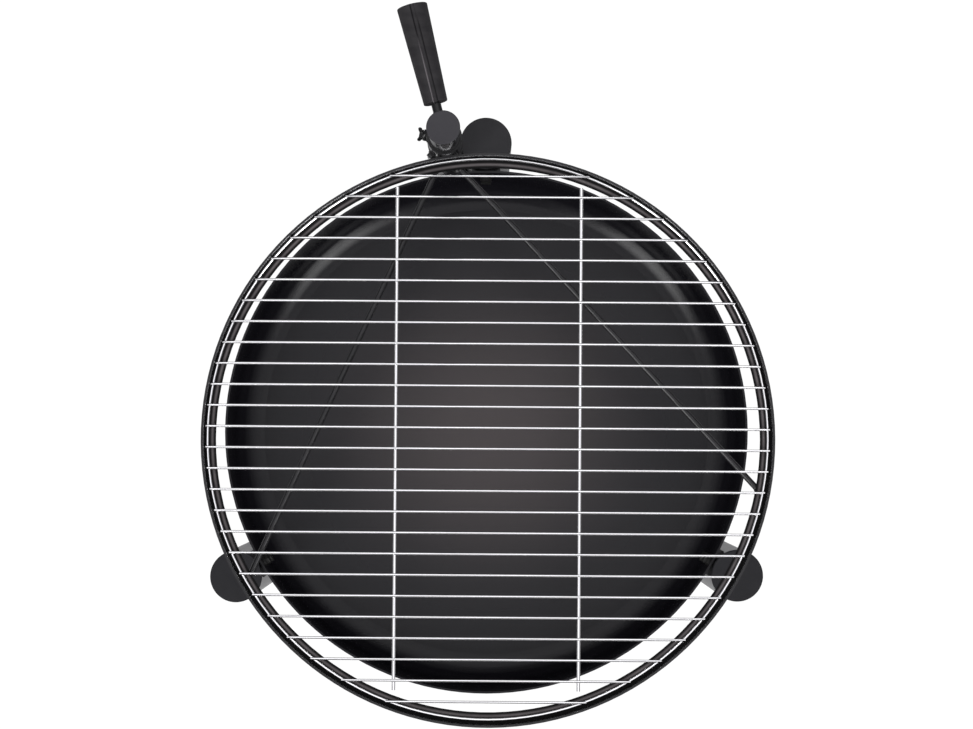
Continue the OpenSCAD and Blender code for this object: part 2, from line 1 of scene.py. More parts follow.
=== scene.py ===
# %% [markdown]
# # A brazier grill, seen from straight above
#
# The object is a fire bowl between three tube legs. A round grill slides up a post beside
# the rear leg and swings about it. Its solids come from the CAD model, as a fixed frame.
# This lesson gives them their finishes, and adds what a machinist and a welder leave on
# such a thing: chamfered bolts and nuts, a cast wing screw, weld beads and spot welds.
#
# All lengths are in metres, +Z is up, and the rear leg stands towards +Y.

import json
import math

import bpy
from mathutils import Matrix, Vector


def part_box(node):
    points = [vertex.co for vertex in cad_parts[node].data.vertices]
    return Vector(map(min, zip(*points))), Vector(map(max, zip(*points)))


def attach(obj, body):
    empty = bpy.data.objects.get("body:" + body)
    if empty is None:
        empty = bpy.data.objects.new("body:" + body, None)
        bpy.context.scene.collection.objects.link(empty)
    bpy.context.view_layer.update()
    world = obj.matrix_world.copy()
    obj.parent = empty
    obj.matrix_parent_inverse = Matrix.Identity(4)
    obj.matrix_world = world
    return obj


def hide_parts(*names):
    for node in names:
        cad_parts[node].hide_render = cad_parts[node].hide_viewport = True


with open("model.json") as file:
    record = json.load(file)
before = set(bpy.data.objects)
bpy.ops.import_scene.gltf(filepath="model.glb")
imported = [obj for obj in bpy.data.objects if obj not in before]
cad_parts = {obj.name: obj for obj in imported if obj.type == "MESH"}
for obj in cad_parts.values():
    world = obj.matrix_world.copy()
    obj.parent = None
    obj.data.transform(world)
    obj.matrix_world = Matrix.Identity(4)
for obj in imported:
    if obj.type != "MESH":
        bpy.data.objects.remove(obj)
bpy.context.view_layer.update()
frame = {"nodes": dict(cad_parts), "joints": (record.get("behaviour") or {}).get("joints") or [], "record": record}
nodes_of_frame = frame["nodes"]

# %% [markdown]
# ## Places to build on
#
# New pieces sit on the CAD solids, so their places are measured there and not typed in.
# The middle of a round solid's box is its axis. The joints of the record give the two
# screws' axes.

# %% Measure the places
MM = 0.001


def middle(node):
    low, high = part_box(node)
    return (low + high) / 2


def at_height(point, z):
    return Vector((point.x, point.y, z))


def joint_line(name):
    joint = next(j for j in frame["joints"] if j["name"] == name)
    return Vector(joint["pos_m"]), Vector(joint["axis"])


post_axis = middle("post")
ring_axis = middle("ring_hoop")
bowl_axis = middle("fire_bowl")
ring_under, ring_top = (corner.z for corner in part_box("ring_hoop"))
print("post", post_axis, "ring", ring_axis, "bowl", bowl_axis)

# %% [markdown]
# ## Camera
#
# The photograph was taken from about 2.3 m above the legs, looking down. The point right
# under the lens lies a little below the middle of the picture, so the camera leans by
# 1.6 degrees instead of being shifted. All circles then stay round, as in the photograph.

# %% Camera
PHOTO_SIZE = (973, 729)
FOCAL_PIXELS = 2371.6
SENSOR_MM = 36
CAMERA_PLACE = (0.0001, -0.0617, 2.70)
CAMERA_LEAN = math.radians(1.608)
CAMERA_ROLL = math.radians(-0.08)

camera_data = bpy.data.cameras.new("photo_camera")
camera_data.sensor_fit = "HORIZONTAL"
camera_data.sensor_width = SENSOR_MM
camera_data.lens = FOCAL_PIXELS * SENSOR_MM / PHOTO_SIZE[0]
camera_data.clip_end = 60
camera = bpy.data.objects.new("photo_camera", camera_data)
bpy.context.scene.collection.objects.link(camera)
camera.location = CAMERA_PLACE
camera.rotation_euler = (CAMERA_LEAN, 0, CAMERA_ROLL)
bpy.context.scene.camera = camera
print("lens", round(camera_data.lens, 2), "mm")

# %% [markdown]
# ## Floor, light and surroundings
#
# The photograph has a pure white background. For the camera the floor glows white through
# Light Path. For everything else it is a plain grey surface with real shadows, so that the
# gloss of the legs mirrors the dim floor under the bowl. The surroundings are bright
# overhead and dimmer near the horizon, and white where the camera looks past the floor.
#
# Soft lamps stand in front, on the left and the right, each a strong one between two weak
# ones. Their light in the bowl's bend makes the two pale arcs at its back. A dark flag
# between them keeps the bend black there, and one wide lamp at the back lifts the front.

# %% White floor
bpy.context.scene.view_settings.view_transform = "Standard"

FLOOR_HALF = 9.0
FLOOR_SINK = 0.0005  # keeps the feet clear of it
FLOOR_GREY = (0.34, 0.34, 0.34, 1)
WHITE = (1, 1, 1, 1)
GLOW_SHARE = 0.85
GLOW_STRENGTH = 1.16

bpy.ops.mesh.primitive_plane_add(size=2 * FLOOR_HALF, location=(0, 0, -FLOOR_SINK))
floor = bpy.context.object
floor.name = "studio_floor"

floor_white = bpy.data.materials.new("floor_white")
floor_white.use_nodes = True
floor_nodes = floor_white.node_tree.nodes
floor_links = floor_white.node_tree.links
floor_nodes.clear()
floor_out = floor_nodes.new("ShaderNodeOutputMaterial")
floor_paint = floor_nodes.new("ShaderNodeBsdfDiffuse")
floor_paint.inputs["Color"].default_value = FLOOR_GREY
floor_glow = floor_nodes.new("ShaderNodeEmission")
floor_glow.inputs["Color"].default_value = WHITE
floor_glow.inputs["Strength"].default_value = GLOW_STRENGTH
seen_by = floor_nodes.new("ShaderNodeLightPath")
glow_share = floor_nodes.new("ShaderNodeMath")
glow_share.operation = "MULTIPLY"
glow_share.inputs[1].default_value = GLOW_SHARE
floor_mix = floor_nodes.new("ShaderNodeMixShader")
floor_links.new(seen_by.outputs["Is Camera Ray"], glow_share.inputs[0])
floor_links.new(glow_share.outputs[0], floor_mix.inputs["Fac"])
floor_links.new(floor_paint.outputs[0], floor_mix.inputs[1])
floor_links.new(floor_glow.outputs[0], floor_mix.inputs[2])
floor_links.new(floor_mix.outputs[0], floor_out.inputs["Surface"])
floor.data.materials.append(floor_white)

# %% Surroundings: bright overhead, dimmer near the horizon, as in a studio
HORIZON_LIGHT = (0.22, 0.22, 0.23)
HIGH_LIGHT = (0.84, 0.83, 0.87)
OVERHEAD_LIGHT = (1.40, 1.39, 1.43)
HORIZON_UP_TO = 0.25  # both are the sine of the height above the horizon
HIGH_AT = 0.80

studio = bpy.data.worlds.new("studio")
bpy.context.scene.world = studio
studio.use_nodes = True
sky_nodes = studio.node_tree.nodes
sky_links = studio.node_tree.links
sky_nodes.clear()
sky_out = sky_nodes.new("ShaderNodeOutputWorld")
sky = sky_nodes.new("ShaderNodeBackground")
sky_place = sky_nodes.new("ShaderNodeTexCoord")
sky_split = sky_nodes.new("ShaderNodeSeparateXYZ")
sky_ramp = sky_nodes.new("ShaderNodeValToRGB")
sky_ramp.color_ramp.elements[0].position = HORIZON_UP_TO
sky_ramp.color_ramp.elements[0].color = (*HORIZON_LIGHT, 1)
sky_ramp.color_ramp.elements[1].position = 1.0
sky_ramp.color_ramp.elements[1].color = (*OVERHEAD_LIGHT, 1)
sky_ramp.color_ramp.elements.new(HIGH_AT).color = (*HIGH_LIGHT, 1)
sky_links.new(sky_place.outputs["Generated"], sky_split.inputs[0])
sky_links.new(sky_split.outputs["Z"], sky_ramp.inputs["Fac"])
sky_links.new(sky_ramp.outputs["Color"], sky.inputs["Color"])

# The camera sees white past the floor's edge too.
sky_for_camera = sky_nodes.new("ShaderNodeBackground")
sky_for_camera.inputs["Color"].default_value = WHITE
sky_seen_by = sky_nodes.new("ShaderNodeLightPath")
sky_mix = sky_nodes.new("ShaderNodeMixShader")
sky_links.new(sky_seen_by.outputs["Is Camera Ray"], sky_mix.inputs["Fac"])
sky_links.new(sky.outputs[0], sky_mix.inputs[1])
sky_links.new(sky_for_camera.outputs[0], sky_mix.inputs[2])
sky_links.new(sky_mix.outputs[0], sky_out.inputs["Surface"])

# %% Lamps
LAMP_TARGET = Vector((0, -0.06, 0.3))
LAMP_REACH = 2.85


def lamp_at(name, azimuth, from_zenith, size, watts):
    """A lamp that faces the bowl, at an azimuth from +X and an angle from straight up."""
    turn, lean = math.radians(azimuth), math.radians(from_zenith)
    flat = Vector((math.cos(turn), math.sin(turn), 0)) * math.sin(lean)
    place = LAMP_TARGET + (flat + Vector((0, 0, math.cos(lean)))) * LAMP_REACH
    data = bpy.data.lights.new(name, "AREA")
    data.shape = "RECTANGLE"
    data.size, data.size_y = size
    data.energy = watts
    lamp = bpy.data.objects.new(name, data)
    bpy.context.scene.collection.objects.link(lamp)
    lamp.location = place
    lamp.rotation_euler = (LAMP_TARGET - place).to_track_quat("-Z", "Y").to_euler()


for side_name, azimuth, share in (("left", 225.5, 1.0), ("right", 310.6, 0.96)):
    lamp_at("lamp_" + side_name + "_upper", azimuth, 31.5, (0.9, 0.60), 6.5 * share)
    lamp_at("lamp_" + side_name, azimuth, 52.8, (0.9, 1.53), 30 * share)
    lamp_at("lamp_" + side_name + "_lower", azimuth, 76, (0.9, 0.80), 7.5 * share)
lamp_at("lamp_back", 90, 31, (2.8, 1.9), 6.5)

# %% Dark flag between the lamps
FLAG_PLACE = (0, -2.0, 2.1)
FLAG_TILT = math.radians(-133)
FLAG_SIZE = (1.15, 1.9, 1)
FLAG_GREY = (0.03, 0.03, 0.03, 1)

bpy.ops.mesh.primitive_plane_add(size=1, location=FLAG_PLACE, rotation=(FLAG_TILT, 0, 0))
flag = bpy.context.object
flag.name = "dark_flag"
flag.scale = FLAG_SIZE
bpy.ops.object.transform_apply(location=True, rotation=True, scale=True)
flag_black = bpy.data.materials.new("flag_black")
flag_black.use_nodes = True
flag_shader = flag_black.node_tree.nodes["Principled BSDF"]
flag_shader.inputs["Base Color"].default_value = FLAG_GREY
flag_shader.inputs["Roughness"].default_value = 0.9
flag.data.materials.append(flag_black)
flag.visible_camera = False  # a view from the front looks past it

# %% [markdown]
# ## Helpers for finishes
#
# Every finish is built from noise on Object coordinates, which stay with the metal when a
# part moves. One helper makes the noise, one spreads it over a range of roughness, one
# turns it into two tones of colour and one into fine relief.

# %% Finish helpers


class Finish:
    """A material on a Principled shader, with the noise that varies it."""

    def __init__(self, name, metallic=0.0, ior=1.5, gloss=0.5):
        self.material = bpy.data.materials.new(name)
        self.material.use_nodes = True
        self.nodes = self.material.node_tree.nodes
        self.links = self.material.node_tree.links
        self.shader = self.nodes["Principled BSDF"]
        self.shader.inputs["Metallic"].default_value = metallic
        self.shader.inputs["IOR"].default_value = ior
        self.shader.inputs["Specular IOR Level"].default_value = gloss

    def noise(self, scale, detail=3.0, stretch=(1, 1, 1), turn=(0, 0, 0)):
        place = self.nodes.new("ShaderNodeTexCoord")
        mapping = self.nodes.new("ShaderNodeMapping")
        mapping.inputs["Rotation"].default_value = turn
        mapping.inputs["Scale"].default_value = stretch
        noise = self.nodes.new("ShaderNodeTexNoise")
        noise.inputs["Scale"].default_value = scale
        noise.inputs["Detail"].default_value = detail
        self.links.new(place.outputs["Object"], mapping.inputs["Vector"])
        self.links.new(mapping.outputs["Vector"], noise.inputs["Vector"])
        return noise.outputs["Fac"]

    def spread(self, value, low, high, value_from=0.3, value_to=0.7):
        node = self.nodes.new("ShaderNodeMapRange")
        node.inputs["From Min"].default_value = value_from
        node.inputs["From Max"].default_value = value_to
        node.inputs["To Min"].default_value = low
        node.inputs["To Max"].default_value = high
        self.links.new(value, node.inputs["Value"])
        return node.outputs["Result"]

    def roughness(self, value, low, high):
        self.links.new(self.spread(value, low, high), self.shader.inputs["Roughness"])

    def tones(self, value, first, second, value_from=0.3, value_to=0.7):
        ramp = self.nodes.new("ShaderNodeValToRGB")
        ramp.color_ramp.elements[0].position = value_from
        ramp.color_ramp.elements[0].color = (*first, 1)
        ramp.color_ramp.elements[1].position = value_to
        ramp.color_ramp.elements[1].color = (*second, 1)
        self.links.new(value, ramp.inputs["Fac"])
        self.links.new(ramp.outputs["Color"], self.shader.inputs["Base Color"])
        return ramp

    def relief(self, value, height):
        bump = self.nodes.new("ShaderNodeBump")
        bump.inputs["Strength"].default_value = 1.0
        bump.inputs["Distance"].default_value = height
        self.links.new(value, bump.inputs["Height"])
        self.links.new(bump.outputs["Normal"], self.shader.inputs["Normal"])


# %% [markdown]
# ## Satin black of the bowl
#
# The bowl is painted with heat-proof black that dries satin, with the fine pebble of a
# sprayed coat. Its middle is painted paler and a trace browner than the wall: the paleness
# is a painted pool of light from above. A gradient about the bowl's own axis gives that,
# broken up by noise so that it doesn't look drawn.

# %% Bowl paint
# Painted pool of light: the paint grows paler towards the bowl's middle, within this reach.
LIGHT_POOL_REACH = 0.198
WALL_TONE = (0.0056, 0.0053, 0.0071)
LIT_MIDDLE_TONE = (0.0475, 0.0405, 0.0412)

bowl_paint = Finish("bowl_satin_black", gloss=0.245)
bowl_place = bowl_paint.nodes.new("ShaderNodeTexCoord")
bowl_centre = bowl_paint.nodes.new("ShaderNodeMapping")
bowl_centre.vector_type = "POINT"
bowl_centre.inputs["Scale"].default_value = (1 / LIGHT_POOL_REACH, 1 / LIGHT_POOL_REACH, 0)
bowl_centre.inputs["Location"].default_value = (
    -bowl_axis.x / LIGHT_POOL_REACH,
    -bowl_axis.y / LIGHT_POOL_REACH,
    0,
)
from_middle = bowl_paint.nodes.new("ShaderNodeTexGradient")
from_middle.gradient_type = "SPHERICAL"
bowl_paint.links.new(bowl_place.outputs["Object"], bowl_centre.inputs["Vector"])
bowl_paint.links.new(bowl_centre.outputs["Vector"], from_middle.inputs["Vector"])
light_pool_share = bowl_paint.nodes.new("ShaderNodeMapRange")
light_pool_share.interpolation_type = "SMOOTHSTEP"
bowl_paint.links.new(from_middle.outputs["Fac"], light_pool_share.inputs["Value"])
light_pool_mottled = bowl_paint.nodes.new("ShaderNodeMath")
light_pool_mottled.operation = "MULTIPLY"
bowl_paint.links.new(light_pool_share.outputs["Result"], light_pool_mottled.inputs[0])
clouds = bowl_paint.spread(bowl_paint.noise(9, detail=5), 0.88, 1.0)
bowl_paint.links.new(clouds, light_pool_mottled.inputs[1])
bowl_paint.tones(light_pool_mottled.outputs[0], WALL_TONE, LIT_MIDDLE_TONE, 0, 1)
bowl_paint.roughness(bowl_paint.noise(60, detail=4), 0.215, 0.25)
bowl_paint.relief(bowl_paint.noise(520, detail=2), 0.000006)

# %% [markdown]
# ## Gloss black of the tubes
#
# Legs, post, sleeve and fittings are powder coated: a deep black with a hard gloss and a
# slow orange-peel ripple. Seen almost along their sides, they mirror the white floor.

# %% Tube coat
tube_coat = Finish("tube_gloss_black", gloss=0.25)
tube_coat.tones(tube_coat.noise(14), (0.0075, 0.0075, 0.008), (0.012, 0.012, 0.0125))
tube_coat.roughness(tube_coat.noise(45), 0.07, 0.12)
tube_coat.relief(tube_coat.noise(210, detail=1), 0.00001)

# %% Nut coat: the collar's nut has a glossier coat, and its colour is painted a trace paler than the tubes' as painted reflection
nut_pale_coat = Finish("nut_gloss_painted_pale", gloss=1.0)
nut_pale_coat.tones(nut_pale_coat.noise(60), (0.012, 0.012, 0.0125), (0.020, 0.020, 0.0205))
nut_pale_coat.roughness(nut_pale_coat.noise(150), 0.07, 0.12)
nut_pale_coat.relief(nut_pale_coat.noise(600, detail=1), 0.000006)

# %% Ring coat: the same powder, fired duller by its thin steel
ring_coat = Finish("ring_satin_black", gloss=0.32)
ring_coat.tones(ring_coat.noise(22), (0.006, 0.006, 0.0066), (0.011, 0.0105, 0.012))
ring_coat.roughness(ring_coat.noise(70), 0.18, 0.27)
ring_coat.relief(ring_coat.noise(320, detail=1), 0.000012)

# %% [markdown]
# The ledge's coat is rougher than the ring's, and a pale band is painted along the middle
# of the ledge, a painted highlight as on a rounded top. The band follows the distance from
# the ring's axis.

# %% Ledge coat with a painted highlight along its middle
HIGHLIGHT_RADIUS = 0.2521
HIGHLIGHT_HALF = 0.0018
LEDGE_TONE = (0.0018, 0.0016, 0.0018)
HIGHLIGHT_TONE = (0.135, 0.122, 0.124)

ledge_coat = Finish("ledge_black_painted_highlight", gloss=0.10)
ledge_place = ledge_coat.nodes.new("ShaderNodeTexCoord")
from_ring_axis = ledge_coat.nodes.new("ShaderNodeMapping")
from_ring_axis.inputs["Location"].default_value = (-ring_axis.x, -ring_axis.y, 0)
from_ring_axis.inputs["Scale"].default_value = (1, 1, 0)
ledge_radius = ledge_coat.nodes.new("ShaderNodeVectorMath")
ledge_radius.operation = "LENGTH"
ledge_coat.links.new(ledge_place.outputs["Object"], from_ring_axis.inputs["Vector"])
ledge_coat.links.new(from_ring_axis.outputs["Vector"], ledge_radius.inputs[0])
off_highlight = ledge_coat.nodes.new("ShaderNodeMath")
off_highlight.operation = "SUBTRACT"
off_highlight.inputs[1].default_value = HIGHLIGHT_RADIUS
ledge_coat.links.new(ledge_radius.outputs["Value"], off_highlight.inputs[0])
beside_highlight = ledge_coat.nodes.new("ShaderNodeMath")
beside_highlight.operation = "ABSOLUTE"
ledge_coat.links.new(off_highlight.outputs[0], beside_highlight.inputs[0])
highlight_share = ledge_coat.nodes.new("ShaderNodeMath")
highlight_share.operation = "MULTIPLY"
ledge_coat.links.new(
    ledge_coat.spread(beside_highlight.outputs[0], 1, 0, 0, HIGHLIGHT_HALF), highlight_share.inputs[0]
)
ledge_coat.links.new(ledge_coat.spread(ledge_coat.noise(55, detail=4), 0.7, 1), highlight_share.inputs[1])
ledge_coat.tones(highlight_share.outputs[0], LEDGE_TONE, HIGHLIGHT_TONE, 0, 1)
ledge_coat.roughness(ledge_coat.noise(90), 0.34, 0.46)
ledge_coat.relief(ledge_coat.noise(900, detail=2), 0.00002)

# %% [markdown]
# ## Plastics
#
# The caps are dark grey polythene with a spark-eroded grain, dull and even. The grip is
# harder and blacker, with flow lines that run along it, as moulded phenolic has. Painted
# shade darkens both edges of the groove on its top, and a painted highlight makes the left
# edge pale near the post. Both follow the distance from the handle's line.

# %% Caps: the rear leg's is painted a trace greyer than the other two, as painted light against the shade that the ring and post cast on it, and the post's greyer still


def cap_finish(name, gloss, first, second):
    finish = Finish(name, gloss=gloss)
    finish.tones(finish.noise(30), first, second)
    finish.roughness(finish.noise(90), 0.50, 0.60)
    finish.relief(finish.noise(1400, detail=1), 0.00003)
    return finish


cap_plastic = cap_finish(
    "cap_black", 0.24, (0.0040, 0.0040, 0.0055), (0.0060, 0.0060, 0.0080)
)
rear_cap_lightened = cap_finish(
    "cap_lightened_against_shade", 0.24, (0.0150, 0.0148, 0.0168), (0.0180, 0.0176, 0.0198)
)
post_plastic = cap_finish("cap_dark_grey", 0.3, (0.024, 0.023, 0.027), (0.028, 0.027, 0.031))

# %% Grip
handle_run = middle("handle_rod") - post_axis
handle_run = Vector((handle_run.x, handle_run.y, 0)).normalized()
handle_yaw = math.atan2(handle_run.y, handle_run.x)
grip_plastic = Finish("grip_black", gloss=0.12)
flow = grip_plastic.noise(120, detail=3, stretch=(0.06, 1, 1), turn=(0, 0, -handle_yaw))
grip_tones = grip_plastic.tones(flow, (0.0200, 0.0190, 0.0206), (0.0300, 0.0285, 0.0300))
grip_plastic.roughness(grip_plastic.noise(40), 0.42, 0.54)
grip_plastic.relief(flow, 0.00003)

# %% Painted shade on both edges of the grip's groove, and a painted highlight on its left edge
LEFT_EDGE = 1.85 * MM
RIGHT_EDGE = -2.25 * MM
LINE_HALF = 0.9 * MM
GROOVE_SHADE = (0.001, 0.001, 0.0015, 1)
EDGE_HIGHLIGHT = (0.16, 0.148, 0.155, 1)

grip_place = grip_plastic.nodes.new("ShaderNodeTexCoord")
from_handle = grip_plastic.nodes.new("ShaderNodeMapping")
from_handle.inputs["Rotation"].default_value = (0, 0, -handle_yaw)
from_handle.inputs["Location"].default_value = -(
    Matrix.Rotation(-handle_yaw, 3, "Z") @ at_height(post_axis, 0)
)
grip_split = grip_plastic.nodes.new("ShaderNodeSeparateXYZ")
grip_plastic.links.new(grip_place.outputs["Object"], from_handle.inputs["Vector"])
grip_plastic.links.new(from_handle.outputs["Vector"], grip_split.inputs[0])


def grip_math(operation, first, second):
    node = grip_plastic.nodes.new("ShaderNodeMath")
    node.operation = operation
    for value, socket in zip((first, second), node.inputs):
        if isinstance(value, float):
            socket.default_value = value
        else:
            grip_plastic.links.new(value, socket)
    return node.outputs[0]


def line_along_grip(offset, gone_at, full_at):
    """A line beside the handle's own, strong from one distance from the post to another."""
    aside = grip_math("SUBTRACT", grip_split.outputs["Y"], offset)
    narrow = grip_plastic.spread(grip_math("ABSOLUTE", aside, 0.0), 1, 0, 0, LINE_HALF)
    stretch = grip_plastic.spread(grip_split.outputs["X"], 0, 1, gone_at, full_at)
    return grip_math("MULTIPLY", narrow, stretch)


grip_tint = grip_tones.outputs["Color"]
for share, tint in (
    (line_along_grip(RIGHT_EDGE, 116 * MM, 104 * MM), GROOVE_SHADE),
    (line_along_grip(LEFT_EDGE, 86 * MM, 104 * MM), GROOVE_SHADE),
    (line_along_grip(LEFT_EDGE, 98 * MM, 66 * MM), EDGE_HIGHLIGHT),
):
    mix = grip_plastic.nodes.new("ShaderNodeMixRGB")
    mix.inputs["Color2"].default_value = tint
    grip_plastic.links.new(share, mix.inputs["Fac"])
    grip_plastic.links.new(grip_tint, mix.inputs["Color1"])
    grip_tint = mix.outputs["Color"]
grip_plastic.links.new(grip_tint, grip_plastic.shader.inputs["Base Color"])

# %% [markdown]
# ## Metals
#
# The grate is bright chrome over drawn wire.
# The hidden nuts and the collar's screw are zinc plated, greyer and rougher.

# %% Chrome and zinc
chrome = Finish("grate_chrome", metallic=1.0)
chrome.tones(chrome.noise(35), (0.93, 0.93, 0.94), (0.97, 0.97, 0.97))
chrome.roughness(chrome.noise(160, detail=2), 0.11, 0.19)
chrome.relief(chrome.noise(700, detail=2), 0.000004)

zinc = Finish("zinc_plate", metallic=1.0)
zinc.tones(zinc.noise(180), (0.50, 0.51, 0.52), (0.64, 0.64, 0.62))
zinc.roughness(zinc.noise(400), 0.28, 0.45)
zinc.relief(zinc.noise(1500), 0.00001)

# %% Weld coat: the ring's coat over a rippled bead
weld_coat = Finish("weld_black", gloss=0.3)
weld_coat.tones(weld_coat.noise(300), (0.010, 0.010, 0.011), (0.022, 0.021, 0.021))
weld_coat.roughness(weld_coat.noise(240), 0.24, 0.42)
weld_coat.relief(weld_coat.noise(1100), 0.00005)

# %% Black oxide of the bowl's bolts, dull so that the heads stay dim against the wall
bolt_black = Finish("bolt_black_oxide", gloss=0.2)
bolt_black.tones(bolt_black.noise(200), (0.006, 0.006, 0.006), (0.011, 0.0105, 0.010))
bolt_black.roughness(bolt_black.noise(300), 0.42, 0.55)
bolt_black.relief(bolt_black.noise(1500), 0.00001)

# %% Put the finishes on the CAD nodes
FINISH_OF_SLOT = {
    "bowl_black": bowl_paint,
    "tube_black": tube_coat,
    "ring_black": ring_coat,
    "cap_grey": cap_plastic,
    "grip_black": grip_plastic,
    "chrome": chrome,
    "zinc": zinc,
}
FINISH_OF_NODE = {
    "ring_ledge": ledge_coat,
    "leg_cap_rear": rear_cap_lightened,
    "post_cap": post_plastic,
    "bowl_washers": bolt_black,
}
slot_of_node = {s["node"]: s["material_slot"] for s in frame["record"]["subparts"]}
for node_name, node_object in nodes_of_frame.items():
    node_finish = FINISH_OF_NODE.get(node_name) or FINISH_OF_SLOT[slot_of_node[node_name]]
    node_object.data.materials.clear()
    node_object.data.materials.append(node_finish.material)
print("finishes on", len(slot_of_node), "nodes")

# %% [markdown]
# ## Helpers for modelling
#
# A piece is modelled upright at the origin, where its sizes are easy to read, and then
# laid into place. `lay` turns its +Z along a direction, with its +Y as near up as it goes,
# and applies that, so the finished object sits at the origin with its place in its mesh.

# %% Modelling helpers
SMOOTH_BELOW = math.radians(35)


def only(*objects):
    bpy.ops.object.select_all(action="DESELECT")
    for chosen in objects:
        chosen.select_set(True)
    bpy.context.view_layer.objects.active = objects[0]


def apply_place(piece):
    only(piece)
    bpy.ops.object.transform_apply(location=True, rotation=True, scale=True)


def lay(piece, origin, direction):
    turn = Vector(direction).to_track_quat("Z", "Y").to_matrix().to_4x4()
    piece.matrix_world = Matrix.Translation(origin) @ turn @ piece.matrix_world
    apply_place(piece)
    return piece


def apply_modifiers(piece):
    only(piece)
    for modifier in list(piece.modifiers):
        bpy.ops.object.modifier_apply(modifier=modifier.name)


def boolean(piece, tool, operation):
    modifier = piece.modifiers.new("boolean", "BOOLEAN")
    modifier.operation = operation
    modifier.solver = "EXACT"
    modifier.object = tool
    apply_modifiers(piece)
    bpy.data.objects.remove(tool, do_unlink=True)


def join(name, pieces):
    only(*pieces)
    bpy.ops.object.join()
    joined = bpy.context.object
    joined.name = name
    joined.data.name = name
    return joined


def finish_piece(piece, name, body, finish):
    piece.name = name
    piece.data.name = name
    piece.data.materials.clear()
    piece.data.materials.append(finish.material)
    only(piece)
    bpy.ops.object.shade_smooth_by_angle(angle=SMOOTH_BELOW)
    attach(piece, body)
    print(name, len(piece.data.polygons), "faces")
    return piece


# %% [markdown]
# ## Hexagon heads and nuts
#
# A turned cone takes the corners off a hexagon at 30 degrees, so that is how it is made
# here: a six-sided prism is intersected with a cone. A fine bevel then breaks the edges.

# %% Hexagon prism with turned corners
HEX_CORNER = 1 / math.cos(math.radians(30))
CHAMFER_RISE = math.tan(math.radians(60))
CHAMFER_START = 0.475  # of the flats, where the cone begins to cut
EDGE_BEVEL = 0.15 * MM


def turned_hexagon(flats, height, both_ends):
    """A prism from z = 0 up, its corners turned off at the top, or at both ends."""
    bpy.ops.mesh.primitive_cylinder_add(
        vertices=6, radius=flats / 2 * HEX_CORNER, depth=height, location=(0, 0, height / 2)
    )
    prism = bpy.context.object
    apply_place(prism)
    small = CHAMFER_START * flats
    large = small + CHAMFER_RISE * height
    for top in (True, False) if both_ends else (True,):
        bpy.ops.mesh.primitive_cone_add(
            vertices=48,
            radius1=large if top else small,
            radius2=small if top else large,
            depth=height,
            location=(0, 0, height / 2),
        )
        cone = bpy.context.object
        apply_place(cone)
        boolean(prism, cone, "INTERSECT")
    return prism


def bevel_edges(piece):
    modifier = piece.modifiers.new("bevel", "BEVEL")
    modifier.width = EDGE_BEVEL
    modifier.segments = 2
    modifier.limit_method = "ANGLE"
    modifier.angle_limit = math.radians(25)
    apply_modifiers(piece)


def bolt(flats, head_height, shank, length):
    """Head above z = 0, its seat on z = 0, and the shank below."""
    head = turned_hexagon(flats, head_height, both_ends=False)
    bpy.ops.mesh.primitive_cylinder_add(
        vertices=32, radius=shank / 2, depth=length + head_height / 2,
        location=(0, 0, head_height / 4 - length / 2),
    )
    stem = bpy.context.object
    apply_place(stem)
    boolean(head, stem, "UNION")
    bevel_edges(head)
    return head


def nut(flats, height, bore):
    """From z = 0 up, with its bore."""
    body = turned_hexagon(flats, height, both_ends=True)
    bpy.ops.mesh.primitive_cylinder_add(
        vertices=48, radius=bore / 2, depth=3 * height, location=(0, 0, height / 2)
    )
    drill = bpy.context.object
    apply_place(drill)
    boolean(body, drill, "DIFFERENCE")
    bevel_edges(body)
    return body


# %% [markdown]
# ## Bolts through the bowl and through the post
#
# Two bolts hold each leg to the bowl, their heads inside the wall, where the photograph
# shows one at each leg. Two more hold the post to the rear leg. Each bolt is modelled on
# its own and laid along the line from the bowl, or the post, to the leg.

# %% Bolts
BOLT_FLATS = 10 * MM
BOLT_HEAD = 4 * MM
BOLT_SHANK = 6 * MM
WASHER = 1.6 * MM
RIM_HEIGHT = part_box("fire_bowl")[1].z
BOWL_RADIUS = 254.5 * MM
WALL_LEAN = math.radians(1)
SHEET = 2 * MM
SHANK_END = 264.2 * MM
LEG_BOLT_HEIGHTS = (370 * MM, 342 * MM)
POST_BOLT_HEIGHTS = (371 * MM, 209 * MM)

leg_bolts = []
for leg_name in ("leg_rear", "leg_left", "leg_right"):
    outward = at_height(middle(leg_name) - bowl_axis, 0).normalized()
    for height in LEG_BOLT_HEIGHTS:
        wall_outside = BOWL_RADIUS - (RIM_HEIGHT - height) * math.tan(WALL_LEAN)
        wall_inside = wall_outside - SHEET / math.cos(WALL_LEAN)
        seat = wall_inside - WASHER
        piece = bolt(BOLT_FLATS, BOLT_HEAD, BOLT_SHANK, SHANK_END - seat)
        leg_bolts.append(lay(piece, at_height(bowl_axis, height) + outward * seat, -outward))
bowl_bolts = join("bowl_bolts_turned", leg_bolts)
finish_piece(bowl_bolts, "bowl_bolts_turned", "stand", bolt_black)
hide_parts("bowl_bolts")

POST_SEAT = 55.6 * MM
POST_SHANK = 39.6 * MM
rear_axis = middle("leg_rear")
towards_post = at_height(post_axis - rear_axis, 0).normalized()
post_bolts = []
for height in POST_BOLT_HEIGHTS:
    piece = bolt(BOLT_FLATS, BOLT_HEAD, BOLT_SHANK, POST_SHANK)
    post_bolts.append(
        lay(piece, at_height(rear_axis, height) + towards_post * POST_SEAT, towards_post)
    )
post_bolt_pair = join("post_bolts_turned", post_bolts)
finish_piece(post_bolt_pair, "post_bolts_turned", "stand", tube_coat)
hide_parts("post_bolts")

